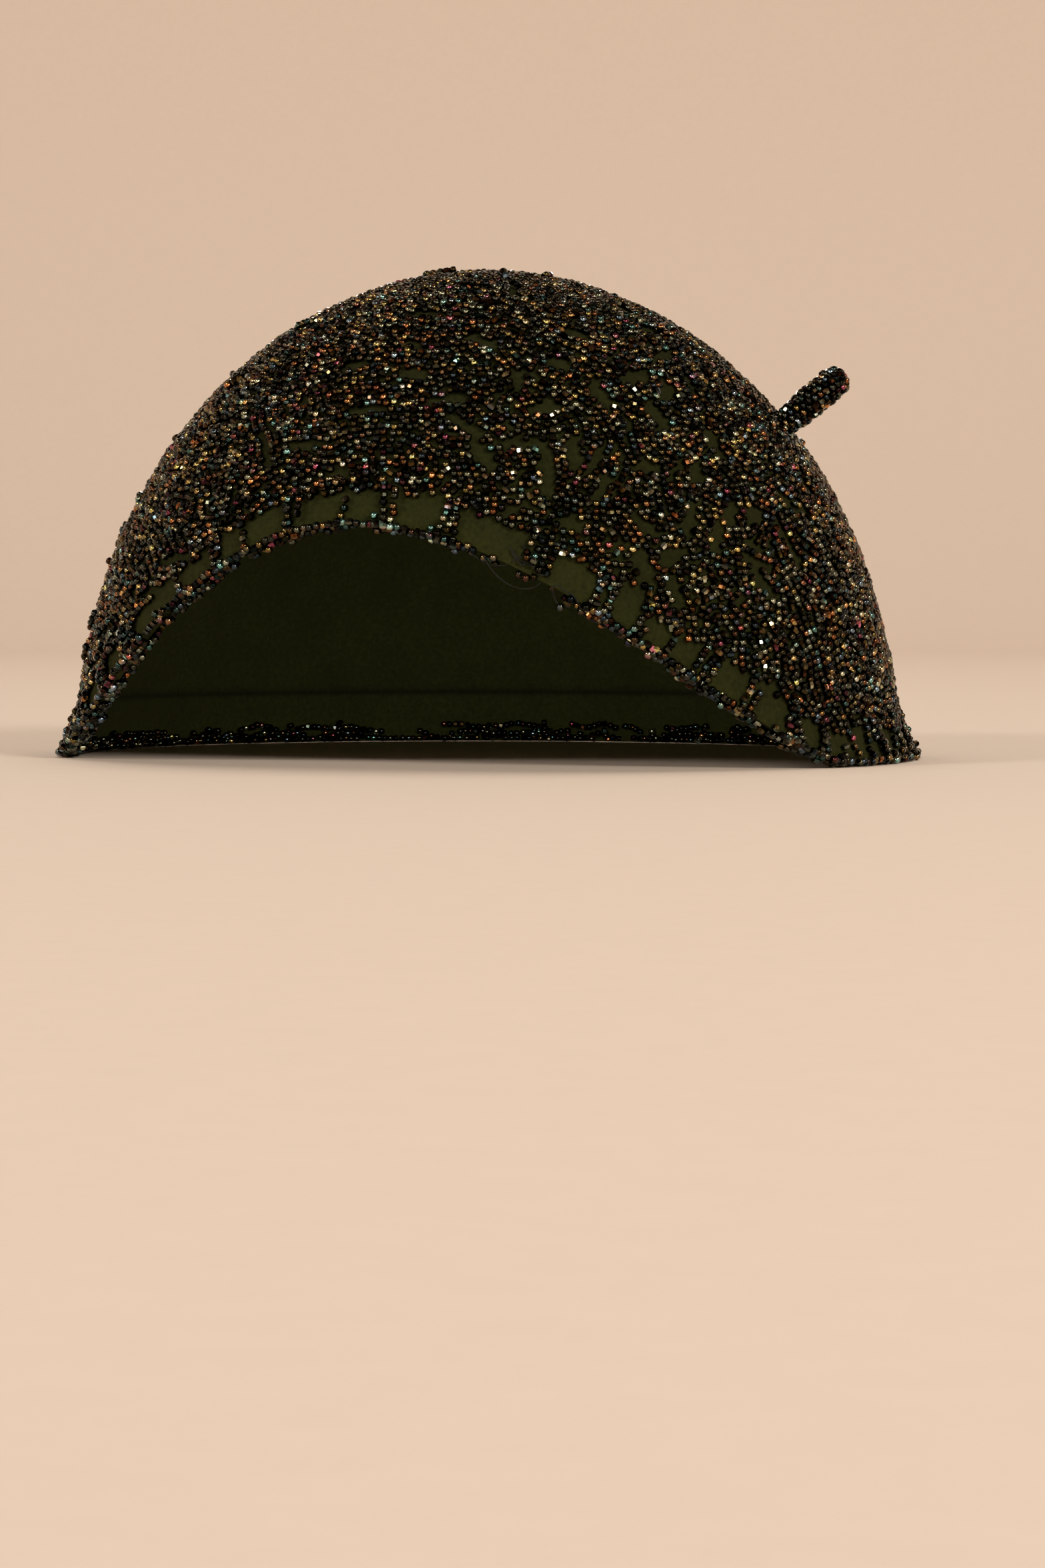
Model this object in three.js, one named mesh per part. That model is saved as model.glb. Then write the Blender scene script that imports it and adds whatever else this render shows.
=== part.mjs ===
// A bell-shaped felt cap with a flared foot, a high arched front edge and a short stem.
// Millimetres, +Z up. The cap stands on its rim at z = 0, its front towards -Y.

import * as THREE from 'three';

// Driving dimensions of the bell. Its outer face is half an ellipsoid, flared at the foot.
const CROWN_HEIGHT = 127; // rest plane to the top of the crown
const BELL_RADIUS = 109; // half the side-to-side width of the bell at the rim, without the lip
const DEPTH_RATIO = 0.93; // front-to-back size over side-to-side size
const WALL = 3; // felt with its sewn beads

// The foot of the bell curls outwards into a lip. The front edge is cut above it.
const LIP_HEIGHT = 20;
const LIP_FLARE = 6;

// The front edge rises in an arch, which comes down sooner on the wearer's right.
// The sides and back rest on the surface.
const ARCH_HEIGHT = 58;
const ARCH_HALF_ANGLE = {
  left: THREE.MathUtils.degToRad(72),
  right: THREE.MathUtils.degToRad(62),
};
const ARCH_POWER = 0.7; // under 1 broadens the top of the arch

// The felt is turned in along the rim, and the beaded edge wraps round onto the hem.
const HEM_WIDTH = 14;
const HEM_DEPTH = WALL + 1.5;
const EDGE_WIDTH = 6;
const EDGE_DEPTH = HEM_DEPTH + 1.7;
const RIM_WIDTH = LIP_HEIGHT; // reach of the rim's section up the felt

// The stem stands square to the crown on the wearer's left, a little behind the side.
const STEM_AZIMUTH = THREE.MathUtils.degToRad(95); // from the front, towards +X
const STEM_HEIGHT = 86;
const STEM_GAP = 0.3;
const STEM_SIDES = 16;
const STEM_SECTIONS = [
  { along: 0, radius: 3.8 },
  { along: 3, radius: 4 },
  { along: 10, radius: 4.3 },
  { along: 16.2, radius: 4.2 },
  { along: 18.6, radius: 3.4 },
  { along: 19.5, radius: 2 },
];

// Section of the rim: distance up from the edge, and depth in from the outer face.
const RIM_SECTION = [
  { up: 16, depth: 0 },
  { up: 12, depth: 0 },
  { up: 8, depth: 0 },
  { up: 5, depth: 0 },
  { up: 2.6, depth: 0 },
  { up: 0.9, depth: 0.5 },
  { up: 0, depth: 1.6 },
  { up: 0, depth: 4.8 },
  { up: 0.9, depth: EDGE_DEPTH - 0.4 },
  { up: 2.4, depth: EDGE_DEPTH },
  { up: EDGE_WIDTH, depth: EDGE_DEPTH },
  { up: EDGE_WIDTH + 1, depth: HEM_DEPTH },
  { up: 10, depth: HEM_DEPTH },
  { up: HEM_WIDTH, depth: HEM_DEPTH },
  { up: HEM_WIDTH + 0.8, depth: WALL + 0.2 },
  { up: RIM_WIDTH, depth: WALL },
];

// Fineness of the surface
const SECTORS = 72;
const CROWN_STEPS = 13;

const FELT_GREEN = 0x2c3413;
const BEAD_DARK = 0x14170f;

// Height of the rim at an azimuth that is counted from the front, towards the wearer's left.
function rimHeight(azimuth) {
  const halfAngle = azimuth < 0 ? ARCH_HALF_ANGLE.right : ARCH_HALF_ANGLE.left;
  const share = Math.min(Math.abs(azimuth) / halfAngle, 1);
  return ARCH_HEIGHT * ((1 + Math.cos(Math.PI * share)) / 2) ** ARCH_POWER;
}

// Radius of the bell at a height, for a face that lies some depth inside the outer one.
function bellRadius(height, depth) {
  const share = Math.min(height / (CROWN_HEIGHT - depth), 1);
  return (BELL_RADIUS - depth) * Math.sqrt(1 - share * share);
}

// Height gained for each millimetre along the felt, square to a rim that climbs at this azimuth.
function climbStretch(azimuth) {
  const delta = 0.01;
  const rise = rimHeight(azimuth + delta) - rimHeight(azimuth - delta);
  const run = 2 * delta * bellRadius(rimHeight(azimuth), 0);
  return Math.hypot(rise, run) / run;
}

function bellPoint(azimuth, radius, height) {
  const x = radius * Math.sin(azimuth);
  const y = -radius * Math.cos(azimuth) * DEPTH_RATIO;
  return new THREE.Vector3(x, y, height);
}

// One meridian, from the top of the outer face, round the rim, to the top of the inner face.
function meridian(azimuth) {
  const rim = rimHeight(azimuth);
  const stretch = climbStretch(azimuth);
  const rimTop = rim + RIM_WIDTH * stretch;
  const crownFace = (depth) => {
    const top = CROWN_HEIGHT - depth;
    const sweep = Math.acos(rimTop / top);
    return Array.from({ length: CROWN_STEPS }, (_, step) => {
      const height = top * Math.cos((sweep * (step + 1)) / CROWN_STEPS);
      return bellPoint(azimuth, bellRadius(height, depth), height);
    });
  };
  const rimFace = RIM_SECTION.map(({ up, depth }) => {
    const height = rim + up * stretch;
    const curl = LIP_FLARE * Math.max(1 - height / LIP_HEIGHT, 0) ** 2;
    return bellPoint(azimuth, bellRadius(height, depth) + curl, height);
  });
  const innerFace = crownFace(WALL).reverse();
  return [...crownFace(0), ...rimFace, ...innerFace.slice(1)];
}

// Closed skin over rings of points, with a single point at each end.
function closedSkin(first, columns, last) {
  const sectors = columns.length;
  const rows = columns[0].length;
  const points = [first, ...columns.flat(), last];
  const at = (sector, row) => 1 + (sector % sectors) * rows + row;
  const faces = [];
  for (let sector = 0; sector < sectors; sector += 1) {
    const next = sector + 1;
    faces.push(0, at(sector, 0), at(next, 0));
    for (let row = 0; row + 1 < rows; row += 1) {
      faces.push(at(sector, row), at(sector, row + 1), at(next, row + 1));
      faces.push(at(sector, row), at(next, row + 1), at(next, row));
    }
    faces.push(at(sector, rows - 1), points.length - 1, at(next, rows - 1));
  }
  const geometry = new THREE.BufferGeometry().setFromPoints(points);
  geometry.setIndex(faces);
  geometry.computeVertexNormals();
  return geometry;
}

function feltCap() {
  const columns = Array.from({ length: SECTORS }, (_, sector) => {
    const turn = (sector / SECTORS) * 2 * Math.PI;
    return meridian(turn > Math.PI ? turn - 2 * Math.PI : turn);
  });
  const outerTop = new THREE.Vector3(0, 0, CROWN_HEIGHT);
  const innerTop = new THREE.Vector3(0, 0, CROWN_HEIGHT - WALL);
  const felt = new THREE.MeshStandardMaterial({ color: FELT_GREEN, roughness: 0.95, metalness: 0 });
  const cap = new THREE.Mesh(closedSkin(outerTop, columns, innerTop), felt);
  cap.name = 'felt_cap';
  return cap;
}

// The stem is turned about its own axis, then stood on the crown along the crown's normal.
function stem() {
  const outline = STEM_SECTIONS.map(({ along, radius }) => new THREE.Vector2(radius, along));
  const tip = STEM_SECTIONS.at(-1).along;
  const profile = [new THREE.Vector2(0, 0), ...outline, new THREE.Vector2(0, tip)];
  const beads = new THREE.MeshStandardMaterial({ color: BEAD_DARK, roughness: 0.35, metalness: 0.2 });
  const stalk = new THREE.Mesh(new THREE.LatheGeometry(profile, STEM_SIDES), beads);
  const foot = bellPoint(STEM_AZIMUTH, bellRadius(STEM_HEIGHT, 0), STEM_HEIGHT);
  const normal = new THREE.Vector3(
    foot.x / BELL_RADIUS ** 2,
    foot.y / (BELL_RADIUS * DEPTH_RATIO) ** 2,
    foot.z / CROWN_HEIGHT ** 2,
  ).normalize();
  stalk.position.copy(foot).addScaledVector(normal, STEM_GAP);
  stalk.quaternion.setFromUnitVectors(new THREE.Vector3(0, 1, 0), normal);
  stalk.name = 'stem';
  return stalk;
}

// The origin is under the middle of the cap's box.
const cap = new THREE.Group();
cap.add(feltCap(), stem());
const middle = new THREE.Box3().setFromObject(cap, true).getCenter(new THREE.Vector3());
cap.position.set(-middle.x, -middle.y, 0);

export default cap;
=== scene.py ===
"""Dresses the solids of a bell-shaped felt cap in felt, seed beads and sewing thread.

The file is laid out as an add-on and run as a script. Lengths are in metres, +Z up.
"""

import math
import random
from collections import deque
from itertools import product

import bmesh
import bpy
import numpy as np
from bpy.props import FloatProperty, FloatVectorProperty, IntProperty, PointerProperty
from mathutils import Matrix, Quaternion, Vector
from mathutils.bvhtree import BVHTree


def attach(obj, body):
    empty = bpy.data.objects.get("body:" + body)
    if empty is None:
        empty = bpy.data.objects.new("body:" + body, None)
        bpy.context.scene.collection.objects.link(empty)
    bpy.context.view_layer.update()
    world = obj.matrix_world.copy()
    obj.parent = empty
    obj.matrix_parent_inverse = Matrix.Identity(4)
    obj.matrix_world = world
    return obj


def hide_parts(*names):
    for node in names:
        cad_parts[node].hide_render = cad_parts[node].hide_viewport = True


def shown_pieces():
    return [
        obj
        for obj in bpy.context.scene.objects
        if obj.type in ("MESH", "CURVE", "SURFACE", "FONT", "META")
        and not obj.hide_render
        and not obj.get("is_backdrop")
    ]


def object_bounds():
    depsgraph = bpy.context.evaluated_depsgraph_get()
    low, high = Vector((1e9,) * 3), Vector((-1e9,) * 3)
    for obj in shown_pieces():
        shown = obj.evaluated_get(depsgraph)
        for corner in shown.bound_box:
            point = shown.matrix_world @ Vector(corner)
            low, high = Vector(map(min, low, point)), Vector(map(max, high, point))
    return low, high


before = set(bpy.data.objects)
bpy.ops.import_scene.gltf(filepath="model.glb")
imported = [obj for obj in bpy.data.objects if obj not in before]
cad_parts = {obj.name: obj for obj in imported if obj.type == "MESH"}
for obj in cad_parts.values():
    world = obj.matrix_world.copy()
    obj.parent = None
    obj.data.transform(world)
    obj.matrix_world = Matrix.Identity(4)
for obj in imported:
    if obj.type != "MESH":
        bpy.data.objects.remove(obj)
CAD_LOW, CAD_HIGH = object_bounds()

bl_info = {
    "name": "Beaded felt bell cap",
    "version": (1, 0, 0),
    "blender": (4, 5, 0),
    "location": "View3D > Sidebar > Cap",
    "description": "Felt, seed beads and thread for a bell-shaped cap, and a plain stage",
    "category": "Object",
}

IMAGE_SIZE = (1568, 2352)
TINY = 1e-6  # metres, under which a length counts as none


# Properties

def length(name, default, description):
    return FloatProperty(name=name, description=description, default=default, min=0.0, unit="LENGTH")


def angle(name, degrees, description):
    return FloatProperty(
        name=name, description=description, default=math.radians(degrees), unit="ROTATION"
    )


def colour(name, default, description):
    return FloatVectorProperty(
        name=name, description=description, default=default, size=3, min=0.0, max=1.0, subtype="COLOR"
    )


class CapShape(bpy.types.PropertyGroup):
    """Sizes of the bell that the strands of beads follow"""

    crown_height: length("Crown height", CAD_HIGH.z, "Floor to the top of the crown")
    bell_radius: length("Bell radius", 0.109, "Half the width of the bell at the rim, without the lip")
    depth_ratio: FloatProperty(
        name="Depth ratio", description="Front-to-back size over side-to-side size", default=0.93
    )
    lip_height: length("Lip height", 0.020, "Height of the flared foot above the floor")
    lip_flare: length("Lip flare", 0.006, "How far the foot curls outwards")
    arch_height: length("Arch height", 0.058, "Height of the front edge above the floor")
    arch_left: angle("Arch left", 72, "From the front to where the rim comes down on the left")
    arch_right: angle("Arch right", 62, "From the front to where the rim comes down on the right")
    arch_power: FloatProperty(
        name="Arch power", description="Under 1 broadens the top of the arch", default=0.7
    )
    hem_depth: length("Hem depth", 0.0045, "From the beads' outer face to the inner face of the hem")
    hem_width: length("Hem width", 0.0146, "From the edge to the crease above the turned-in hem")
    edge_width: length("Edge width", 0.0065, "How far the beads wrap onto the inside of the rim")


class FeltStyle(bpy.types.PropertyGroup):
    """Colours and surface of the felt"""

    deep: colour("Deep", (0.0100, 0.0116, 0.0017), "Felt in its pressed hollows")
    body: colour("Body", (0.0222, 0.0258, 0.0037), "Main colour of the felt")
    worn: colour("Worn", (0.0305, 0.0345, 0.0055), "Felt rubbed pale along the rim")
    # Painted shade: a near-black felt colour laid along the crease above the hem, standing in for the
    # shadow in that crease.
    crease: colour("Crease", (0.0025, 0.0030, 0.0006), "Felt in the crease above the hem")
    sheen: colour("Sheen", (0.20, 0.20, 0.06), "Light caught by the nap")
    nap: length("Nap", 0.0004, "Size of the felt's fibres")
    swell: length("Swell", 0.0007, "Height of the hand-made unevenness")
    swell_size: length("Swell size", 0.016, "Width of the hand-made unevenness")


class BeadStyle(bpy.types.PropertyGroup):
    """Sizes and iris colours of the seed beads"""

    diameter: length("Diameter", 0.00195, "Across the bead")
    length: length("Length", 0.00162, "Along the hole")
    pitch: length("Pitch", 0.00178, "From bead to bead along a strand")
    strand_gap: length("Strand gap", 0.00196, "From strand to strand where they lie close")
    lip_bare: length("Lip width", 0.0095, "Width of the lip below the close beading")
    jitter: length("Jitter", 0.00015, "How far beads stray from their place on the strand")
    seed: IntProperty(
        name="Seed", description="Number that the strands' wandering starts from", default=7
    )
    black: colour("Black", (0.019, 0.020, 0.016), "Beads with the least light in them")
    pale: colour("Pale", (0.070, 0.073, 0.050), "Silver-green lights")
    gold: colour("Gold", (0.106, 0.076, 0.024), "Yellow lights")
    bronze: colour("Bronze", (0.075, 0.045, 0.017), "Brown lights")
    copper: colour("Copper", (0.108, 0.040, 0.013), "Orange lights")
    teal: colour("Teal", (0.032, 0.073, 0.068), "Blue-green lights")
    steel: colour("Steel", (0.044, 0.066, 0.088), "Blue-grey lights")
    plum: colour("Plum", (0.104, 0.021, 0.036), "Red-violet lights")
    flash: FloatProperty(
        name="Flash", description="How much the beads differ in brightness, in steps of e", default=1.15
    )
    cut_share: FloatProperty(
        name="Cut share", description="Share of the beads with flat cut sides", default=0.18,
        subtype="FACTOR",
    )


class ThreadStyle(bpy.types.PropertyGroup):
    """Size and colour of the sewing thread"""

    diameter: length("Diameter", 0.00032, "Thickness of the thread")
    tint: colour("Tint", (0.004, 0.0045, 0.0035), "Colour of the thread")


class StageStyle(bpy.types.PropertyGroup):
    """Floor, light and camera"""

    floor: colour("Floor", (0.73, 0.625, 0.54), "Colour of the floor and of the wall round it")
    lamp: colour("Lamp", (1.0, 0.92, 0.82), "Colour of the lamps")
    lamp_power: FloatProperty(
        name="Lamp power", description="Power of the main lamp", default=25.0, unit="POWER"
    )
    azimuth: angle("Azimuth", 22, "Camera's turn from the front of the cap")
    elevation: angle("Elevation", -1.5, "Camera's rise above the middle of the cap")
    distance: length("Distance", 0.95, "Camera to the middle of the cap")
    pixels_per_metre: FloatProperty(
        name="Pixels per metre", description="Scale of the picture at the cap", default=5650.0
    )


STYLES = {
    "cap_shape": CapShape,
    "cap_felt": FeltStyle,
    "cap_beads": BeadStyle,
    "cap_thread": ThreadStyle,
    "cap_stage": StageStyle,
}


# Shape of the bell

def bell_middle():
    """Point of the floor under the top of the crown, which the solid shows."""
    top = max(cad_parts["felt_cap"].data.vertices, key=lambda vertex: vertex.co.z)
    return Vector((top.co.x, top.co.y, 0.0))


class Bell:
    """The cap's outer form, as part of an ellipsoid with a flared foot."""

    STEP = 0.01  # radians, for the slope of the rim

    def __init__(self, shape, sink):
        self.shape = shape
        self.sink = sink
        self.middle = np.array(bell_middle())
        radius = shape.bell_radius - sink
        self.axes = np.array((radius, radius * shape.depth_ratio, shape.crown_height - sink))

    def rim_height(self, azimuth):
        half_angle = self.shape.arch_right if azimuth < 0 else self.shape.arch_left
        share = min(abs(azimuth) / half_angle, 1.0)
        return self.shape.arch_height * ((1 + math.cos(math.pi * share)) / 2) ** self.shape.arch_power

    def radius(self, height, depth):
        share = min(height / (self.shape.crown_height - depth), 1.0)
        return (self.shape.bell_radius - depth) * math.sqrt(1 - share * share)

    def stretch(self, azimuth):
        """Height gained for each metre along the felt, square to a climbing rim."""
        rise = self.rim_height(azimuth + self.STEP) - self.rim_height(azimuth - self.STEP)
        run = 2 * self.STEP * self.radius(self.rim_height(azimuth), 0.0)
        return math.hypot(rise, run) / run

    def curl(self, height):
        return self.shape.lip_flare * max(1 - height / self.shape.lip_height, 0.0) ** 2

    def turned(self, azimuth, radius, height):
        x = radius * math.sin(azimuth)
        y = -radius * math.cos(azimuth) * self.shape.depth_ratio
        return self.middle + np.array((x, y, height))

    def point(self, azimuth, up, depth):
        """A point up from the rim along the felt, some depth inside the outer face."""
        height = self.rim_height(azimuth) + up * self.stretch(azimuth)
        return self.turned(azimuth, self.radius(height, depth) + self.curl(height), height)

    def azimuth_of(self, place):
        x, y, _ = place - self.middle
        return math.atan2(x, -y / self.shape.depth_ratio)

    def up_from_rim(self, place):
        azimuth = self.azimuth_of(place)
        return (place[2] - self.rim_height(azimuth)) / self.stretch(azimuth)

    def onto(self, place):
        """The nearest way in or out to the ellipsoid."""
        offset = place - self.middle
        return self.middle + offset / np.linalg.norm(offset / self.axes)

    def normal(self, place):
        slope = (place - self.middle) / self.axes**2
        return slope / np.linalg.norm(slope)

    def swung(self, place, heading, turn):
        """A heading that lies on the felt, turned about the felt's normal."""
        return heading * math.cos(turn) + np.cross(self.normal(place), heading) * math.sin(turn)

    def flared(self, place):
        """The same point once the foot is curled."""
        return place + self.turned(self.azimuth_of(place), self.curl(place[2]), 0.0) - self.middle


class Meander:
    """A smooth wandering pattern in space, from a few waves."""

    def __init__(self, seed, wavelengths, count):
        chance = np.random.default_rng(seed)
        heading = chance.normal(size=(count, 3))
        heading /= np.linalg.norm(heading, axis=1, keepdims=True)
        wavelength = chance.uniform(*wavelengths, size=(count, 1))
        self.waves = heading * 2 * math.pi / wavelength
        self.phases = chance.uniform(0, 2 * math.pi, size=count)
        self.weight = math.sqrt(2 / count)

    def value(self, place):
        return self.weight * float(np.sin(self.waves @ place + self.phases).sum())

    def slope(self, place):
        return self.weight * (np.cos(self.waves @ place + self.phases) @ self.waves)


class Cells:
    """Things that lie near a place, kept in cells of space."""

    def __init__(self, size):
        self.size = size
        self.cells = {}

    def key(self, place):
        return tuple(int(math.floor(c / self.size)) for c in place)

    def add(self, place, thing):
        self.cells.setdefault(self.key(place), []).append(thing)

    def near(self, place):
        for key in product(*((c - 1, c, c + 1) for c in self.key(place))):
            yield from self.cells.get(key, ())


class LaidBeads:
    """Where the beads of the strands already lie."""

    NEIGHBOURS = 2  # beads each way on the same strand that don't crowd one another

    def __init__(self, cell):
        self.cells = Cells(cell)

    def add(self, place, strand, order):
        self.cells.add(place, (*place, strand, order))

    def crowded(self, place, reach, strand=None, order=0):
        """True if a bead is nearer than reach, apart from near neighbours on the same strand."""
        limit = reach * reach
        x, y, z = place
        for bx, by, bz, other, place_in in self.cells.near(place):
            if other == strand and abs(place_in - order) <= self.NEIGHBOURS:
                continue
            if (bx - x) ** 2 + (by - y) ** 2 + (bz - z) ** 2 < limit:
                return True
        return False


def distances(path):
    """How far along a path each of its points lies."""
    runs = np.linalg.norm(np.diff(path, axis=0), axis=1)
    return np.concatenate([[0.0], np.cumsum(runs)])


# Helpers for objects and nodes

def deselect_all():
    if bpy.context.object and bpy.context.object.mode != "OBJECT":
        bpy.ops.object.mode_set(mode="OBJECT")
    bpy.ops.object.select_all(action="DESELECT")


def make_active(piece):
    deselect_all()
    piece.select_set(True)
    bpy.context.view_layer.objects.active = piece


def new_piece(name, mesh):
    piece = bpy.data.objects.new(name, mesh)
    bpy.context.scene.collection.objects.link(piece)
    make_active(piece)
    return piece


def apply_modifier(piece, kind, **settings):
    modifier = piece.modifiers.new(kind.lower(), kind)
    for key, value in settings.items():
        setattr(modifier, key, value)
    make_active(piece)
    bpy.ops.object.modifier_apply(modifier=modifier.name)


def wear(piece, material):
    piece.data.materials.clear()
    piece.data.materials.append(material)


def add_layer(piece, name, values):
    layer = piece.data.attributes.new(name, "FLOAT", "POINT")
    layer.data.foreach_set("value", values)


def surface_of(piece):
    """A piece's surface, for setting beads down on it."""
    return BVHTree.FromObject(piece, bpy.context.evaluated_depsgraph_get())


def select_faces(piece, wanted):
    """Selects, in edit mode, the faces whose middle and normal pass the test."""
    bpy.ops.mesh.select_mode(type="FACE")
    bpy.ops.mesh.select_all(action="DESELECT")
    editing = bmesh.from_edit_mesh(piece.data)
    editing.normal_update()
    for face in editing.faces:
        face.select_set(wanted(face.calc_center_median(), face.normal))
    bmesh.update_edit_mesh(piece.data)


def core_of_node(node, name, sink, beaded):
    """A copy of a solid whose beaded faces are drawn in by the beads' thickness."""
    core = new_piece(name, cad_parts[node].data.copy())
    core.data.name = name
    bpy.ops.object.mode_set(mode="EDIT")
    bpy.ops.mesh.customdata_custom_splitnormals_clear()
    bpy.ops.mesh.select_all(action="SELECT")
    bpy.ops.mesh.remove_doubles(threshold=TINY)
    bpy.ops.mesh.tris_convert_to_quads()
    select_faces(core, beaded)
    bpy.ops.transform.shrink_fatten(value=-sink)
    bpy.ops.object.mode_set(mode="OBJECT")
    apply_modifier(core, "SUBSURF", levels=2, render_levels=2)
    bpy.ops.object.shade_smooth()
    return core


class Nodes:
    """Short words for building a node tree."""

    def __init__(self, tree):
        self.tree = tree

    def add(self, kind, inputs=None, **settings):
        node = self.tree.nodes.new(kind)
        for key, value in settings.items():
            setattr(node, key, value)
        for socket, value in (inputs or {}).items():
            self.feed(node.inputs[socket], value)
        return node

    def feed(self, socket, value):
        if isinstance(value, bpy.types.NodeSocket):
            self.tree.links.new(value, socket)
        else:
            socket.default_value = value

    def mix(self, share, first, second):
        node = self.add("ShaderNodeMix", data_type="RGBA")
        self.feed(node.inputs["Factor"], share)
        self.feed(node.inputs[6], first)
        self.feed(node.inputs[7], second)
        return node.outputs[2]

    def remap(self, value, low, high, new_low, new_high):
        inputs = {"Value": value, "From Min": low, "From Max": high}
        inputs.update({"To Min": new_low, "To Max": new_high})
        return self.add("ShaderNodeMapRange", inputs).outputs["Result"]

    def noise(self, place, scale, detail, rough=0.55):
        inputs = {"Vector": place, "Scale": scale, "Detail": detail, "Roughness": rough}
        return self.add("ShaderNodeTexNoise", inputs).outputs["Fac"]

    def bump(self, height, strength, distance):
        inputs = {"Height": height, "Strength": strength, "Distance": distance}
        return self.add("ShaderNodeBump", inputs).outputs["Normal"]


def new_material(name):
    material = bpy.data.materials.new(name)
    material.use_nodes = True
    material.node_tree.nodes.clear()
    nodes = Nodes(material.node_tree)
    shader = nodes.add("ShaderNodeBsdfPrincipled")
    out = nodes.add("ShaderNodeOutputMaterial")
    nodes.feed(out.inputs["Surface"], shader.outputs["BSDF"])
    return material, nodes, shader


def rgba(tint):
    return (*tint, 1.0)


def material_of(name, build):
    return bpy.data.materials.get(name) or build(name)


# Materials, with their patterns' scales in waves to the metre

FIBRE_WAVES = 420.0
FIBRE_BEND = 0.0012  # metres that the fibres stray from straight
FELT_PATCHES = 90.0
FELT_FLECKS = 900.0
PATCH_SHARE = 0.55  # of the patches, in the felt's mottle
FILM_WAVES = 1500.0
FILM_DARK = (0.01, 0.01, 0.008)  # colour of a bead where its film is worn
THREAD_TWIST = 4200.0
FLOOR_GRAIN = 160.0


def felt_nap_group():
    """Node group: mottle, and the height of matted fibres, at a chosen fibre size."""
    group = bpy.data.node_groups.get("felt nap")
    if group:
        return group
    group = bpy.data.node_groups.new("felt nap", "ShaderNodeTree")
    face = group.interface
    face.new_socket("Fibres per metre", in_out="INPUT", socket_type="NodeSocketFloat")
    face.new_socket("Mottle", in_out="OUTPUT", socket_type="NodeSocketFloat")
    face.new_socket("Height", in_out="OUTPUT", socket_type="NodeSocketFloat")
    nodes = Nodes(group)
    inlet = nodes.add("NodeGroupInput")
    outlet = nodes.add("NodeGroupOutput")
    place = nodes.add("ShaderNodeTexCoord").outputs["Object"]
    fibres = inlet.outputs["Fibres per metre"]
    bend = nodes.add("ShaderNodeTexNoise", {"Vector": place, "Scale": FIBRE_WAVES, "Detail": 2.0})
    spread = {0: bend.outputs["Color"], 1: (FIBRE_BEND,) * 3}
    shift = nodes.add("ShaderNodeVectorMath", spread, operation="MULTIPLY")
    bent = nodes.add("ShaderNodeVectorMath", {0: place, 1: shift.outputs[0]}, operation="ADD")
    matted = nodes.noise(bent.outputs[0], fibres, 4.0, 0.7)
    patches = nodes.noise(place, FELT_PATCHES, 3.0, 0.6)
    flecks = nodes.noise(bent.outputs[0], FELT_FLECKS, 2.0, 0.6)
    blend = {0: patches, 1: PATCH_SHARE, 2: flecks}
    mottle = nodes.add("ShaderNodeMath", blend, operation="MULTIPLY_ADD")
    nodes.feed(outlet.inputs["Mottle"], nodes.remap(mottle.outputs[0], 0.45, 1.1, 0.0, 1.0))
    nodes.feed(outlet.inputs["Height"], matted)
    return group


def felt_material(name):
    style = bpy.context.scene.cap_felt
    material, nodes, shader = new_material(name)
    nap = nodes.add("ShaderNodeGroup", node_tree=felt_nap_group())
    nodes.feed(nap.inputs["Fibres per metre"], 1 / style.nap)
    worn = nodes.add("ShaderNodeAttribute", attribute_name="rim_wear").outputs["Fac"]
    ground = nodes.mix(nap.outputs["Mottle"], rgba(style.deep), rgba(style.body))
    rubbed = nodes.add("ShaderNodeMath", {0: worn, 1: nap.outputs["Mottle"]}, operation="MULTIPLY")
    felt = nodes.mix(rubbed.outputs[0], ground, rgba(style.worn))
    # Painted shade: the crease mask darkens the felt towards the crease colour, as a shadow line above
    # the hem.
    crease = nodes.add("ShaderNodeAttribute", attribute_name="hem_crease").outputs["Fac"]
    nodes.feed(shader.inputs["Base Color"], nodes.mix(crease, felt, rgba(style.crease)))
    nodes.feed(shader.inputs["Roughness"], nodes.remap(nap.outputs["Mottle"], 0.0, 1.0, 0.98, 0.82))
    nodes.feed(shader.inputs["Normal"], nodes.bump(nap.outputs["Height"], 0.7, 0.0006))
    shader.inputs["Specular IOR Level"].default_value = 0.15
    shader.inputs["Sheen Weight"].default_value = 0.12
    shader.inputs["Sheen Roughness"].default_value = 0.45
    shader.inputs["Sheen Tint"].default_value = rgba(style.sheen)
    return material


def bead_material(name):
    material, nodes, shader = new_material(name)
    tint = nodes.add("ShaderNodeAttribute", attribute_name="bead_tint").outputs["Color"]
    place = nodes.add("ShaderNodeTexCoord").outputs["Object"]
    film = nodes.noise(place, FILM_WAVES, 2.0)
    worn = nodes.remap(film, 0.3, 0.7, 0.0, 0.45)
    nodes.feed(shader.inputs["Base Color"], nodes.mix(worn, tint, rgba(FILM_DARK)))
    nodes.feed(shader.inputs["Roughness"], nodes.remap(film, 0.3, 0.7, 0.04, 0.10))
    shader.inputs["Metallic"].default_value = 1.0
    return material


def grained_material(name, tint, lighten, waves, detail, bump, roughness, specular):
    """A plain material whose colour and surface vary with one fine grain."""
    material, nodes, shader = new_material(name)
    place = nodes.add("ShaderNodeTexCoord").outputs["Object"]
    grain = nodes.noise(place, waves, detail)
    pale = tuple(min(lighten * c, 1.0) for c in tint)
    nodes.feed(shader.inputs["Base Color"], nodes.mix(grain, rgba(tint), rgba(pale)))
    nodes.feed(shader.inputs["Normal"], nodes.bump(grain, *bump))
    shader.inputs["Roughness"].default_value = roughness
    shader.inputs["Specular IOR Level"].default_value = specular
    return material


def thread_material(name):
    return grained_material(
        name, bpy.context.scene.cap_thread.tint, lighten=3.0, waves=THREAD_TWIST, detail=2.0,
        bump=(0.5, 0.0001), roughness=0.7, specular=0.25,
    )


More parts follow.
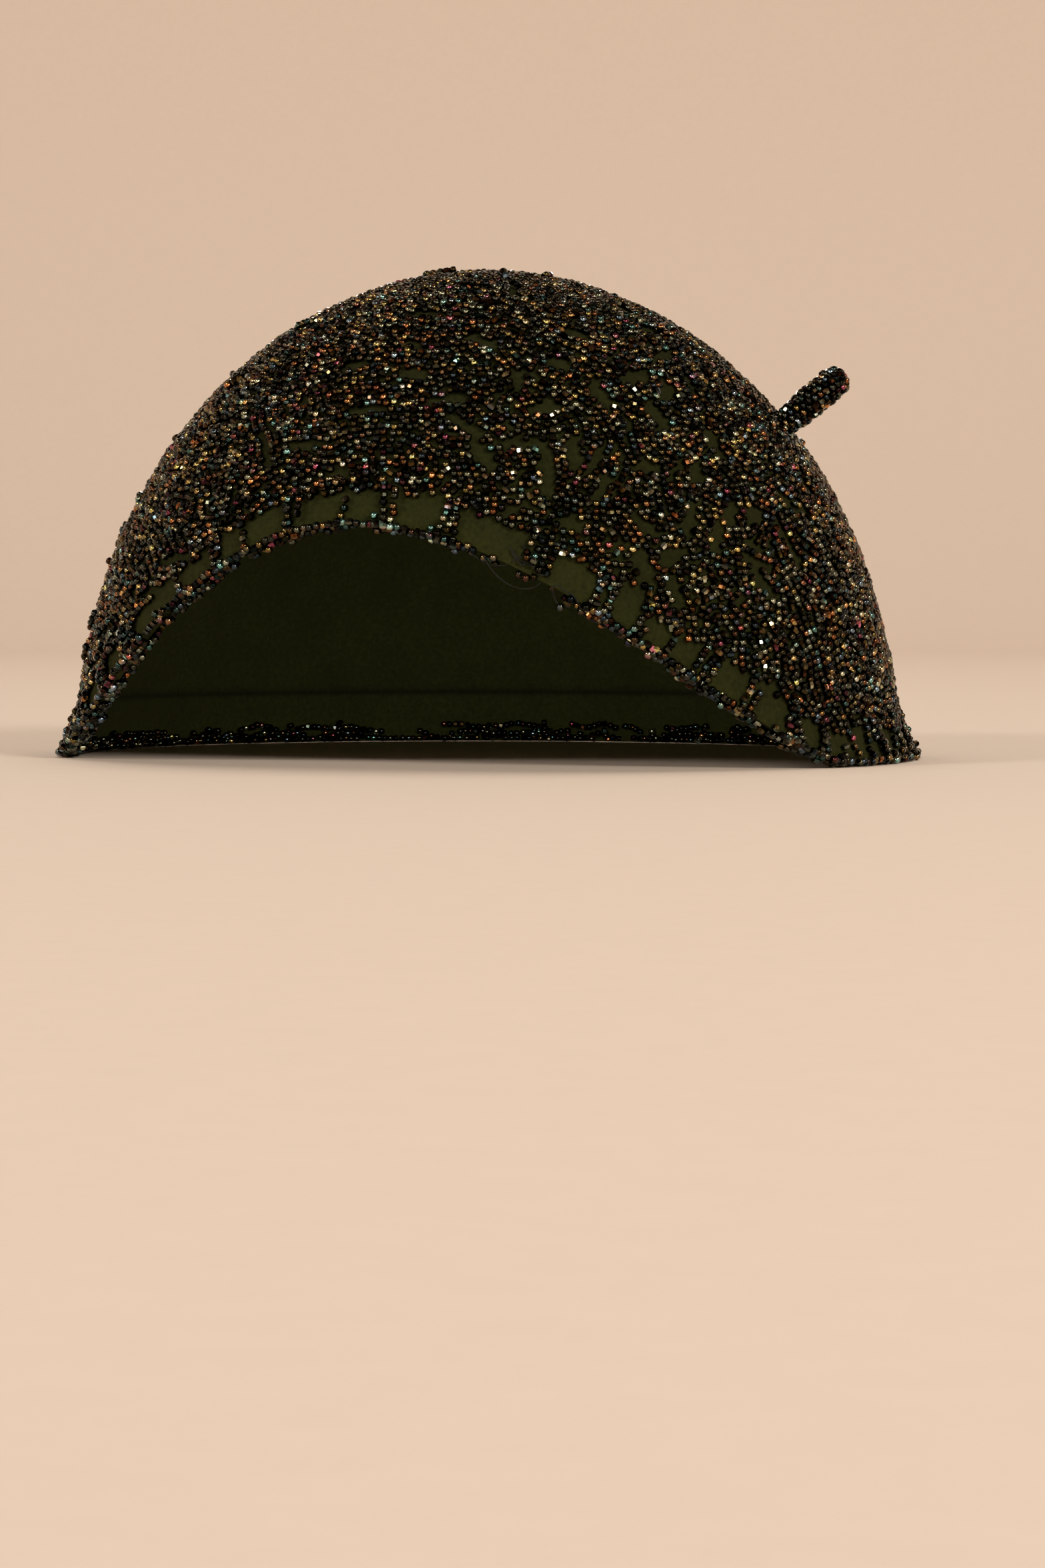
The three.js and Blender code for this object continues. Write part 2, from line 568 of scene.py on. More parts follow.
def floor_material(name):
    return grained_material(
        name, bpy.context.scene.cap_stage.floor, lighten=1.05, waves=FLOOR_GRAIN, detail=4.0,
        bump=(0.08, 0.001), roughness=0.85, specular=0.2,
    )


# Beads

IRIS_SHARES = {
    "black": 0.13,
    "pale": 0.28,
    "gold": 0.17,
    "bronze": 0.12,
    "copper": 0.14,
    "teal": 0.08,
    "steel": 0.05,
    "plum": 0.03,
}
# Painted shade and reflection: the edge's beads lean to black, teal and steel and away from gold and
# copper, standing in for their downward faces lying in shade and reflecting cool, dark surroundings.
SHADED_EDGE_SHARES = {**IRIS_SHARES, "black": 0.20, "gold": 0.11, "copper": 0.10, "teal": 0.18, "steel": 0.12}
# Painted shade: the stem's beads are made mostly black, standing in for the shade that the stem lies in.
SHADED_STEM_SHARES = {**SHADED_EDGE_SHARES, "black": 0.9}
BEAD_SIDES = 7
BEAD_RINGS = 3
HOLE_DEPTH = 0.45  # height of the holes' ends in a bead of unit size
END_GIRTH = 1.08  # how much wider the rings next to the holes are made
END_RING = math.sin(math.pi / 4)  # height of those rings
# Painted shade: near-black colour at the ends of each bead, where the hole goes in, which the mesh does
# not cut.
HOLE_SHADE = 0.002
TILT = 0.2  # radians that beads lean from their strand
GIRTHS = (0.92, 1.04)  # over the usual diameter
LENGTHS = (0.9, 1.12)  # over the usual length
FLASHES = (-2.2, 2.8)  # least and most brightness, in steps of e
MIRROR = 0.95  # the most that a bead throws back
SINK_SHARE = 0.86  # thickness of the layer of beads over a bead's diameter
LIFT_SHARE = 0.43  # height of a bead's middle above the felt over its diameter


def bead_pattern():
    """One bead of unit size, modelled once: its corners and triangles."""
    deselect_all()
    bpy.ops.mesh.primitive_uv_sphere_add(
        segments=BEAD_SIDES, ring_count=BEAD_RINGS + 1, radius=1.0, location=(0, 0, 0)
    )
    bead = bpy.context.object
    bpy.ops.object.mode_set(mode="EDIT")
    bpy.ops.mesh.select_mode(type="VERT")
    editing = bmesh.from_edit_mesh(bead.data)
    for corner in editing.verts:
        corner.select_set(abs(corner.co.z) > 0.9)
    bmesh.update_edit_mesh(bead.data)
    bpy.ops.transform.resize(value=(1.0, 1.0, HOLE_DEPTH), center_override=(0, 0, 0))
    bpy.ops.mesh.select_all(action="SELECT")
    bpy.ops.mesh.quads_convert_to_tris()
    bpy.ops.object.mode_set(mode="OBJECT")
    corners = np.array([vertex.co for vertex in bead.data.vertices])
    triangles = np.array([face.vertices for face in bead.data.polygons])
    bpy.data.objects.remove(bead)
    ends = np.abs(corners[:, 2]) > 0.6
    corners[ends, :2] *= END_GIRTH
    return corners, triangles


def iris_tints(count, chance, mixture):
    """Two tints for each bead: most are dark, and a few catch the light."""
    style = bpy.context.scene.cap_beads
    palette = np.array([tuple(getattr(style, tint)) for tint in mixture])
    shares = np.array(list(mixture.values()))
    shares = shares / shares.sum()
    first = palette[chance.choice(len(palette), size=count, p=shares)]
    second = palette[chance.choice(len(palette), size=count, p=shares)]
    strength = np.exp(np.clip(chance.normal(scale=style.flash, size=(count, 1)), *FLASHES))
    return np.minimum(first * strength, MIRROR), np.minimum(second * strength, MIRROR)


def bead_mesh(name, beads, chance, mixture):
    """A joined mesh of beads. Each bead is (centre, along, out)."""
    style = bpy.context.scene.cap_beads
    corners, triangles = bead_pattern()
    centres, alongs, outs = (np.array([bead[i] for bead in beads]) for i in range(3))
    count = len(beads)
    alongs = alongs + chance.normal(scale=TILT, size=(count, 3))
    alongs /= np.linalg.norm(alongs, axis=1, keepdims=True)
    sides = np.cross(outs, alongs)
    sides /= np.linalg.norm(sides, axis=1, keepdims=True)
    ups = np.cross(alongs, sides)
    girth = style.diameter / 2 * chance.uniform(*GIRTHS, size=(count, 1, 1))
    half = style.length / 2 * chance.uniform(*LENGTHS, size=(count, 1, 1))
    centres = centres + chance.normal(scale=style.jitter, size=(count, 3))
    centres[:, 2] = np.maximum(centres[:, 2], style.diameter / 2)
    shape = corners[None]
    points = shape[..., :1] * sides[:, None] + shape[..., 1:2] * ups[:, None]
    points = centres[:, None] + girth * points
    points = points + half * shape[..., 2:] * alongs[:, None] / END_RING
    first, second = iris_tints(count, chance, mixture)
    round_about = np.arctan2(corners[:, 1], corners[:, 0])[None]
    phase = chance.uniform(0, 2 * math.pi, size=(count, 1))
    share = (0.5 + 0.5 * np.cos(round_about + phase))[..., None]
    tints = first[:, None] * share + second[:, None] * (1 - share)
    # Painted shade: the corners round the holes' ends are made near-black.
    tints[:, np.hypot(corners[:, 0], corners[:, 1]) < 0.1] = HOLE_SHADE
    mesh = bpy.data.meshes.new(name)
    offsets = (np.arange(count) * len(corners))[:, None, None]
    mesh.from_pydata(points.reshape(-1, 3), [], (triangles[None] + offsets).reshape(-1, 3))
    layer = mesh.attributes.new("bead_tint", "FLOAT_COLOR", "POINT")
    alpha = np.ones((count * len(corners), 1))
    layer.data.foreach_set("color", np.hstack([tints.reshape(-1, 3), alpha]).astype(np.float32).ravel())
    smooth = np.repeat(chance.random(count) > style.cut_share, len(triangles))
    mesh.polygons.foreach_set("use_smooth", smooth)
    mesh.update()
    return mesh


def sew_piece(name, beads, chance, mixture=IRIS_SHARES):
    piece = new_piece(name, bead_mesh(name, beads, chance, mixture))
    wear(piece, material_of("iris beads", bead_material))
    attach(piece, "root")
    return piece


def set_down(felt, guide, along, lift):
    """A bead set down on the felt nearest to a guide point off it: (centre, along, out)."""
    foot, _, _, _ = felt.find_nearest(Vector(guide))
    out = guide - np.array(foot)
    out /= np.linalg.norm(out)
    along = along - out * (along @ out)
    return np.array(foot) + out * lift, along / np.linalg.norm(along), out


class BareLens:
    """A lens of bare felt that the strands part around."""

    def __init__(self, bell, middle, along, half_length, half_width):
        self.middle = middle
        self.along = along / half_length
        self.aside = np.cross(bell.normal(middle), along) / half_width

    def holds(self, place):
        offset = place - self.middle
        return (offset @ self.along) ** 2 + (offset @ self.aside) ** 2 < 1


class CrownStrands:
    """Lays wandering strands side by side over the crown, as far as the lip."""

    LONGEST = (8, 45)  # beads each way from a strand's start
    CLOSE = 0.86  # share of the gap at which a strand stops
    LEVEL = 130.0  # how strongly strands keep to level rows, per metre
    STEEP = 2.2  # how much they turn upright towards the stem's side
    RIPPLE = 0.3  # share of the short waves
    BACKWARD = 0.35  # how much the rows tip towards the back
    LONG_WAVES = ((0.028, 0.070), 9)  # shortest and longest, and how many
    SHORT_WAVES = ((0.009, 0.018), 8)
    RAGGED_WAVES = ((0.012, 0.030), 6)
    RAGGED = 0.0010  # how far the lowest beads stray from an even line
    START = (0.004, 0.002)  # of the first strand, beside the top
    LENSES = 120
    LENS_CELL = 0.01
    LENS_SIZES = ((0.0025, 0.0080), (0.0010, 0.0019))  # half lengths and half widths
    FILLS = 8  # places tried round each bead to close small gaps
    LOOSE_AT = (46.0, 0.072)  # degrees round from the front, and height, of the loosest beading
    LOOSE_REACH = 0.045
    LOOSE_LENSES = 36
    LOOSE_SIZES = ((0.0034, 0.0060), (0.0018, 0.0025))
    LOOSE_APART = 0.0078  # least distance between their middles

    def __init__(self, bell, style):
        self.bell = bell
        self.style = style
        self.chance = random.Random(style.seed)
        self.wander = Meander(style.seed, *self.LONG_WAVES)
        self.ripple = Meander(style.seed + 1, *self.SHORT_WAVES)
        self.ragged = Meander(style.seed + 2, *self.RAGGED_WAVES)
        self.laid = LaidBeads(2.2 * style.strand_gap)
        self.places = []
        self.strand = 0
        self.starts = deque()
        self.lenses = Cells(self.LENS_CELL)
        turn, height = math.radians(self.LOOSE_AT[0]), self.LOOSE_AT[1]
        self.loosest = bell.turned(turn, bell.radius(height, bell.sink), height)
        self.open_lenses()
        self.open_loose_lenses()

    def looseness(self, place):
        """How loosely the strands lie, up to 1 on the left of the front."""
        offset = place - self.loosest
        return math.exp(-(offset @ offset) / self.LOOSE_REACH**2)

    def open_loose_lenses(self):
        """Bare patches that lie across the strands' way, where the beading is loose."""
        middles = []
        while len(middles) < self.LOOSE_LENSES:
            stray = np.array([self.chance.gauss(0, 0.6 * self.LOOSE_REACH) for _ in range(3)])
            middle = self.bell.onto(self.loosest + stray)
            near = any(np.linalg.norm(middle - other) < self.LOOSE_APART for other in middles)
            if near or self.bell.up_from_rim(middle) < 1.4 * self.style.lip_bare:
                continue
            heading = self.heading(middle)
            turn = self.chance.uniform(-1.0, 1.0)
            self.open_lens(middle, self.bell.swung(middle, heading, turn), self.LOOSE_SIZES)
            middles.append(middle)

    def open_lenses(self):
        """Scatters bare lenses, most of them low on the crown."""
        count = 0
        while count < self.LENSES:
            way = np.array([self.chance.gauss(0, 1) for _ in range(3)])
            way[2] = abs(way[2])
            middle = self.bell.onto(self.bell.middle + way * 0.01)
            up = self.bell.up_from_rim(middle)
            if up < self.style.lip_bare or self.chance.random() > 0.10 + math.exp(-up / 0.03):
                continue
            self.open_lens(middle, self.heading(middle), self.LENS_SIZES)
            count += 1

    def open_lens(self, middle, along, sizes):
        half_length, half_width = [self.chance.uniform(*size) for size in sizes]
        self.lenses.add(middle, BareLens(self.bell, middle, along, half_length, half_width))

    def bare(self, place):
        return any(lens.holds(place) for lens in self.lenses.near(place))

    def inside(self, place):
        edge = self.style.lip_bare + self.RAGGED * self.ragged.value(place)
        return self.bell.up_from_rim(place) > edge and not self.bare(place)

    def heading(self, place):
        normal = self.bell.normal(place)
        aside = max((place[0] - self.bell.middle[0]) / self.bell.axes[0], 0.0)
        loose = self.looseness(place)
        tipped = np.array((0.0, self.BACKWARD + self.STEEP * aside**2, 1.0))
        rows = self.LEVEL * (1 - 0.5 * loose) * tipped
        ripple = (self.RIPPLE + 0.4 * loose) * self.ripple.slope(place)
        slope = self.wander.slope(place) + ripple + rows
        along = np.cross(normal, slope)
        return along / max(np.linalg.norm(along), TINY)

    def grow(self, start, way):
        """Beads from the start, one way, until the strand runs into something."""
        place = start
        pitch = self.style.pitch
        reach = self.CLOSE * self.style.strand_gap
        for order in range(1, self.chance.randint(*self.LONGEST)):
            half_way = self.bell.onto(place + way * self.heading(place) * pitch / 2)
            place = self.bell.onto(place + way * self.heading(half_way) * pitch)
            if not self.inside(place) or self.laid.crowded(place, reach, self.strand, way * order):
                break
            self.lay(place, way * order)

    def lay(self, place, order):
        self.laid.add(place, self.strand, order)
        self.places.append(place)
        side = np.cross(self.bell.normal(place), self.heading(place)) * self.style.strand_gap
        self.starts.append(self.bell.onto(place + side))
        self.starts.append(self.bell.onto(place - side))

    def fill(self):
        """Closes gaps that are just wide enough for one more bead."""
        reach = self.CLOSE * self.style.strand_gap
        for place in list(self.places):
            along = self.heading(place)
            aside = np.cross(self.bell.normal(place), along)
            for step in range(self.FILLS):
                turn = 2 * math.pi * (step + 0.5) / self.FILLS
                way = along * math.cos(turn) + aside * math.sin(turn)
                spot = self.bell.onto(place + way * 1.02 * reach)
                if self.inside(spot) and not self.laid.crowded(spot, reach):
                    self.places.append(spot)

    def lay_all(self):
        """All the beads' places on the bell, with the way their strand runs there."""
        top = self.bell.middle + np.array((*self.START, self.bell.axes[2]))
        self.starts.append(self.bell.onto(top))
        while self.starts:
            start = self.starts.popleft()
            if self.inside(start) and not self.laid.crowded(start, 0.95 * self.style.strand_gap):
                self.strand += 1
                self.lay(start, 0)
                self.grow(start, 1)
                self.grow(start, -1)
        self.fill()
        return [(place, self.heading(place)) for place in self.places]


# Operators

class CAP_OT_felt_shell(bpy.types.Operator):
    """Shape the felt cap from its solid, drawn in where beads will cover it"""

    bl_idname = "cap.felt_shell"
    bl_label = "Felt Shell"

    WORN = 0.012  # width of the rubbed felt along the rim
    CREASE = 0.0009  # half the width of the painted shade along the crease above the hem
    INWARD = -0.6  # agreement with the bell's normal under which a face is on the inside

    def execute(self, context):
        scene = context.scene
        shape, felt, beads = scene.cap_shape, scene.cap_felt, scene.cap_beads
        sink = SINK_SHARE * beads.diameter
        bell = Bell(shape, 0.0)

        def beaded(middle, normal):
            place = np.array(middle)
            inward = float(bell.normal(place) @ np.array(normal)) < self.INWARD
            return not inward or bell.up_from_rim(place) < shape.edge_width

        shell = core_of_node("felt_cap", "felt_shell", sink, beaded)
        swell = bpy.data.textures.new("hand-made unevenness", "CLOUDS")
        swell.noise_scale = felt.swell_size
        apply_modifier(shell, "DISPLACE", texture=swell, strength=felt.swell, mid_level=0.5)
        places = [np.array(vertex.co) for vertex in shell.data.vertices]
        normals = [np.array(vertex.normal) for vertex in shell.data.vertices]
        ups = np.array([bell.up_from_rim(place) for place in places])
        inside = [bell.normal(place) @ normal < 0 for place, normal in zip(places, normals)]
        # Painted shade: a dark band on the inside faces, along the crease above the hem, stored as a
        # layer for the felt material.
        crease = np.exp(-(((ups - shape.hem_width) / self.CREASE) ** 2)) * np.array(inside)
        add_layer(shell, "rim_wear", np.clip(1 - ups / self.WORN, 0.0, 1.0))
        add_layer(shell, "hem_crease", 0.9 * crease)
        wear(shell, material_of("moss green felt", felt_material))
        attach(shell, "root")
        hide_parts("felt_cap")
        return {"FINISHED"}


class CAP_OT_crown_beads(bpy.types.Operator):
    """Sew wandering strands of seed beads over the crown"""

    bl_idname = "cap.crown_beads"
    bl_label = "Crown Beads"

    TOP = 0.82  # upright share of the normal above which a bead belongs to the top
    CROSSINGS = 70  # short strands sewn over the others
    STACK = 1.05  # height of their beads' middles over a bead's diameter

    def region(self, bell, centre, out):
        if out[2] > self.TOP:
            return "top"
        azimuth = math.degrees(bell.azimuth_of(centre)) % 360
        return ("front", "left", "back", "right")[int(((azimuth + 45) % 360) // 90)]

    def stacked(self, bell, style, places, chance, felt):
        """Short strands that cross over the others, as where two lines of stitching meet."""
        for start, heading in chance.sample(places, self.CROSSINGS):
            turn = chance.uniform(0.6, 2.5)
            normal = bell.normal(start)
            way = bell.swung(start, heading, turn)
            for step in range(chance.randint(1, 4)):
                place = bell.onto(start + way * step * style.pitch)
                guide = bell.flared(place) + normal * style.diameter
                yield set_down(felt, guide, way, self.STACK * style.diameter)

    def execute(self, context):
        style = context.scene.cap_beads
        bell = Bell(context.scene.cap_shape, SINK_SHARE * style.diameter)
        lift = LIFT_SHARE * style.diameter
        felt = surface_of(bpy.data.objects["felt_shell"])
        places = CrownStrands(bell, style).lay_all()
        beads = []
        for place, heading in places:
            guide = bell.flared(place) + bell.normal(place) * lift
            beads.append(set_down(felt, guide, heading, lift))
        beads += self.stacked(bell, style, places, random.Random(style.seed + 3), felt)
        regions = {}
        for bead in beads:
            regions.setdefault(self.region(bell, bead[0], bead[2]), []).append(bead)
        chance = np.random.default_rng(style.seed)
        for region, sewn in sorted(regions.items()):
            sew_piece("crown_beads_" + region, sewn, chance)
        return {"FINISHED"}


class RimWay:
    """Turns distances along and across the rim into the middles of beads round its section."""

    STEPS = 1440
    ROUND = 5  # points on each rounded corner of the section

    def __init__(self, bell, style, shape):
        self.bell = bell
        self.turns = np.linspace(-math.pi, math.pi, self.STEPS + 1)
        edge = np.array([bell.point(turn, 0.0, 0.0) for turn in self.turns])
        flat = np.linalg.norm(np.diff(edge[:, :2], axis=0), axis=1)
        self.along = distances(edge)
        self.length = float(self.along[-1])
        climbs = np.diff(edge[:, 2]) / flat
        self.climbs = np.concatenate([climbs, climbs[:1]])
        self.section(style, shape)

    def section(self, style, shape):
        """From the close beading down the lip, round the edge and up the inside."""
        sink = SINK_SHARE * style.diameter
        lift = LIFT_SHARE * style.diameter
        points = [(sink - lift, style.lip_bare)]
        quarter = [math.pi / 2 * step / self.ROUND for step in range(self.ROUND + 1)]
        points += [(sink - lift * math.cos(turn), sink - lift * math.sin(turn)) for turn in quarter]
        inner = shape.hem_depth
        points += [(inner + lift * math.sin(turn), sink - lift * math.cos(turn)) for turn in quarter]
        points += [(inner + lift, sink + shape.edge_width)]
        self.depths, self.ups = np.array(points).T
        self.across = distances(np.array(points))
        half = self.ROUND // 2 + 1
        self.outer = float(self.across[half])
        self.inner = float(self.across[half + self.ROUND + 1])

    def azimuth(self, along):
        return float(np.interp(along % self.length, self.along, self.turns))

    def place(self, along, across):
        """The point that lies square to the rim from its foot."""
        up = float(np.interp(across, self.across, self.ups)) + max(-across, 0.0)
        depth = float(np.interp(across, self.across, self.depths))
        climb = float(np.interp(along % self.length, self.along, self.climbs))
        return self.bell.point(self.azimuth(along - up * climb), up, depth)


class CAP_OT_edge_beads(bpy.types.Operator):
    """Sew beads along the rim, and in bars across the lip and over the edge"""

    bl_idname = "cap.edge_beads"
    bl_label = "Edge Beads"

    # Windows of bare felt along the front edge, in degrees round from the front
    WINDOWS = (
        (-50.0, -46.0), (-43.3, -39.3), (-36.2, -32.2), (-31.2, -27.2), (-25.8, -21.6),
        (-19.8, -16.8), (-15.4, -9.8), (-8.2, -2.4), (-0.4, 3.8), (7.4, 12.2), (16.0, 24.4),
        (28.8, 33.4), (37.2, 39.4), (41.0, 43.2), (45.2, 47.4), (50.6, 54.8), (57.4, 62.0),
        (65.4, 67.6), (69.4, 71.6), (73.4, 75.6), (77.0, 79.0),
    )
    CHARTED = (-106.0, 80.0)  # degrees, the stretch of the lip whose windows are charted
    FRAYED = (18.5, 33.0)  # degrees, where most of the edge's own beads are lost
    PRESSED = 0.04  # height that is left of the felt's gap to the floor, under the edge's beads
    STRAY = 1.5  # how far the loosest beads stand off, over the usual height
    GROUND = 0.001  # height of the rim under which it counts as standing on the floor
    LOOSE = 0.1  # rows with fewer breaks than this are whole where the rim stands
    # Rows from the outer edge to the inside: way past the edge, wobble, and chance of a break
    ROWS = (
        (0.0000, 0.0003, 0.05),
        (0.0020, 0.0004, 0.07),
        (0.0040, 0.0005, 0.08),
        (0.0060, 0.0006, 0.14),
        (0.0080, 0.0008, 0.34),
    )
    LEAN = 0.0035  # how far a bar's top leans along the rim
    STRANDS = (1, 2, 2, 3, 3)  # to a bar, each as likely
    BAR_TOP = (-0.0025, 0.0)
    BAR_END = (0.0, 0.0055)  # how far bars reach up the inside
    BARE = (0.0030, 0.0085)  # width of the windows that aren't charted
    CORNERS = (0.003, 0.007)  # from corner to corner of a row
    BREAK = (0.001, 0.006)  # width of a break in a row
    FRAYED_LOSS = 0.7
    AHEAD = 0.0005

    def in_window(self, rim, along):
        azimuth = math.degrees(rim.azimuth(along))
        return any(first < azimuth < last for first, last in self.WINDOWS)

    def bars(self, rim, chance, gap):
        """Strands down the lip and over the edge, with bare felt between."""
        along = 0.0
        while along < rim.length - gap:
            lean = chance.uniform(-self.LEAN, self.LEAN)
            for _ in range(chance.choice(self.STRANDS)):
                high = chance.uniform(*self.BAR_TOP)
                inside = rim.inner + chance.uniform(*self.BAR_END)
                if not self.in_window(rim, along):
                    yield [(along - lean, high), (along, rim.outer), (along + 0.3 * lean, inside)]
                along += gap * chance.uniform(0.95, 1.1)
            azimuth = math.degrees(rim.azimuth(along))
            if not self.CHARTED[0] < azimuth < self.CHARTED[1]:
                along += chance.uniform(*self.BARE)

    def row(self, rim, chance, across, wobble, breaks):
        """A strand along the rim that stops and starts."""
        corners = []
        along = chance.uniform(0.0, 0.01)
        while along < rim.length:
            corners.append((along, across + chance.uniform(-wobble, wobble)))
            along += chance.uniform(*self.CORNERS)
            stands = rim.bell.rim_height(rim.azimuth(along)) < self.GROUND
            if chance.random() < breaks and not (stands and breaks < self.LOOSE):
                yield corners
                corners = []
                along += chance.uniform(*self.BREAK)
        yield corners

    def walk(self, rim, corners, pitch):
        """Bead middles a pitch apart along a path of (along, across) corners."""
        if len(corners) < 2:
            return []
        path = np.array(corners)
        passed = distances(path)
        marks = np.arange(0.0, passed[-1], pitch)
        alongs = np.interp(marks, passed, path[:, 0])
        acrosses = np.interp(marks, passed, path[:, 1])
        return list(zip(alongs, acrosses))

    def lost(self, rim, along, across, chance):
        if across < 0.8 * rim.outer:
            return self.in_window(rim, along)
        azimuth = math.degrees(rim.azimuth(along))
        return self.FRAYED[0] < azimuth < self.FRAYED[1] and chance.random() < self.FRAYED_LOSS

    def press_felt(self, style):
        """Lets the soft felt sink between the beads that the rim stands on."""
        for vertex in bpy.data.objects["felt_shell"].data.vertices:
            if vertex.co.z < 1.2 * SINK_SHARE * style.diameter:
                vertex.co.z *= self.PRESSED

    def execute(self, context):
        style = context.scene.cap_beads
        rim = RimWay(Bell(context.scene.cap_shape, 0.0), style, context.scene.cap_shape)
        chance = random.Random(style.seed + 5)
        felt = surface_of(bpy.data.objects["felt_shell"])
        paths = list(self.bars(rim, chance, style.strand_gap))
        for deeper, wobble, breaks in self.ROWS:
            paths += self.row(rim, chance, rim.outer + deeper, wobble, breaks)
        beads = []
        for corners in paths:
            for along, across in self.walk(rim, corners, style.pitch):
                if self.lost(rim, along, across, chance):
                    continue
                guide = rim.place(along, across)
                ahead = rim.place(along + self.AHEAD, across) - guide
                lift = LIFT_SHARE * style.diameter * (1 + self.STRAY * chance.random() ** 5)
                beads.append(set_down(felt, guide, ahead, lift))
        self.press_felt(style)
        # Painted shade and reflection: the edge's beads take the darker, cooler mixture.
        sew_piece("edge_beads", beads, np.random.default_rng(style.seed + 6), SHADED_EDGE_SHARES)
        return {"FINISHED"}


class CAP_OT_broken_stitches(bpy.types.Operator):
    """Hang the broken loops of thread and their last beads where the edge is frayed"""

    bl_idname = "cap.broken_stitches"
    bl_label = "Broken Stitches"

    # Each corner is degrees round from the front, and millimetres below the edge or, under 0, up the lip
    LOOPS = (
        ((20.4, -1.0), (21.6, 4.8), (24.4, 6.2), (27.0, 4.2), (28.2, -1.0)),
        ((33.4, -1.0), (33.6, 2.6), (35.0, 3.6), (36.2, 2.4), (36.6, -1.0)),
        ((29.6, -1.0), (30.4, 1.5), (29.9, 2.8), (31.0, 3.2), (31.2, 4.0)),
        ((18.2, -1.0), (19.2, 2.0), (20.8, 3.0), (22.4, 1.6), (23.6, -1.0)),
        ((24.2, -5.5), (25.4, -1.5), (26.2, -5.5), (27.2, -2.0), (28.2, -4.5)),
        ((24.5, -2.5), (25.8, -7.0), (27.2, -3.0), (25.8, -0.8), (24.4, -4.5)),
        ((25.8, -7.5), (27.6, -5.5), (26.4, -3.0), (28.2, -1.5), (29.0, -3.5)),
        ((29.8, -1.2), (30.6, -4.0), (31.6, -0.5), (32.4, -3.5), (33.2, -1.0)),
    )
    HANGING = ((31.2, 3.4), (26.2, -0.4), (18.4, 0.6), (36.2, 0.9))
    LIP_DEPTH = 0.0010  # of the threads that lie on the lip
    EDGE_MIDDLE = (0.0015, 0.0030)  # way up from the edge, and depth

    def below_edge(self, bell, degrees, drop):
        """A point under the middle of the rim's edge, or just off the lip's felt."""
        turn = math.radians(degrees)
        if drop < 0:
            return bell.point(turn, -drop / 1000, self.LIP_DEPTH)
        return bell.point(turn, *self.EDGE_MIDDLE) - np.array((0.0, 0.0, drop / 1000))

    def loop(self, bell, style, corners):
        deselect_all()
        bpy.ops.curve.primitive_nurbs_path_add(location=(0, 0, 0))
        line = bpy.context.object
        for point, corner in zip(line.data.splines[0].points, corners, strict=True):
            point.co = (*self.below_edge(bell, *corner), 1.0)
        line.data.bevel_depth = style.diameter / 2
        line.data.bevel_resolution = 2
        line.data.resolution_u = 10
        line.data.use_fill_caps = True
        bpy.ops.object.convert(target="MESH")
        return bpy.context.object

    def execute(self, context):
        bell = Bell(context.scene.cap_shape, 0.0)
        loops = [self.loop(bell, context.scene.cap_thread, corners) for corners in self.LOOPS]
        make_active(loops[0])
        for loop in loops:
            loop.select_set(True)
        bpy.ops.object.join()
        stitches = bpy.context.object
        stitches.name = "broken_stitches"
        bpy.ops.object.mode_set(mode="EDIT")
        bpy.ops.mesh.select_all(action="SELECT")
        bpy.ops.mesh.normals_make_consistent(inside=False)
        bpy.ops.object.mode_set(mode="OBJECT")
        wear(stitches, material_of("black thread", thread_material))
        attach(stitches, "root")
        down = np.array((0.0, 0.0, -1.0))
        beads = []
        for degrees, drop in self.HANGING:
            out = bell.normal(bell.point(math.radians(degrees), 0.0, 0.0))
            beads.append((self.below_edge(bell, degrees, drop), down, out))
        seed = context.scene.cap_beads.seed
        sew_piece("hanging_beads", beads, np.random.default_rng(seed + 9))
        return {"FINISHED"}


class CAP_OT_stem(bpy.types.Operator):
    """Shape the stem's felt core from its solid and sew rows of beads along it"""

    bl_idname = "cap.stem"
    bl_label = "Stem"

    ROWS = 13
    TWIST = 45.0  # radians a row turns in a metre
    FOOT = 0.0026  # how far the core reaches down into the cap's beads
    START = -0.0006  # of the rows, from the solid's foot
    LEAN = 0.2  # sideways share of the beads' way
    OFF_AXIS = 0.006  # distance from which beads are set down on the sides
    OFF_TIP = 0.003
    TIP_RINGS = ((0.0022, 7), (0.0, 1))  # radius and number of the beads that close the tip

    def execute(self, context):
        style = context.scene.cap_beads
        sink = SINK_SHARE * style.diameter
        lift = LIFT_SHARE * style.diameter
        bell = Bell(context.scene.cap_shape, 0.0)
        solid = [vertex.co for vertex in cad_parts["stem"].data.vertices]
        middle = sum(solid, Vector()) / len(solid)
        axis = Vector(bell.normal(bell.onto(np.array(middle))))
        reaches = [(corner - middle).dot(axis) for corner in solid]
        foot, tip = middle + axis * min(reaches), middle + axis * max(reaches)
        core = core_of_node("stem", "stem_core", sink, lambda place, normal: normal.dot(axis) > -0.9)
        for vertex in core.data.vertices:
            if (vertex.co - foot).dot(axis) < self.FOOT / 2:
                vertex.co -= axis * self.FOOT
        wear(core, material_of("moss green felt", felt_material))
        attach(core, "root")
        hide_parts("stem")
        skin = surface_of(core)
        side = axis.orthogonal().normalized()
        beads = []
        span = (tip - foot).length
        for row in range(self.ROWS):
            along = self.START + (row % 2) * style.pitch / 2
            while along < span:
                turn = 2 * math.pi * row / self.ROWS + self.TWIST * along
                out = Quaternion(axis, turn) @ side
                guide = np.array(foot + axis * along + out * self.OFF_AXIS)
                way = np.array(axis + self.LEAN * axis.cross(out))
                beads.append(set_down(skin, guide, way, lift))
                along += style.pitch
        for ring, count in self.TIP_RINGS:
            for step in range(count):
                out = Quaternion(axis, 2 * math.pi * step / count) @ side
                guide = np.array(tip + axis * self.OFF_TIP + out * ring)
                beads.append(set_down(skin, guide, np.array(axis.cross(out)), lift))
        # Painted shade: the stem's beads take the mostly black mixture.
        sew_piece("stem_beads", beads, np.random.default_rng(style.seed + 8), SHADED_STEM_SHARES)
        return {"FINISHED"}


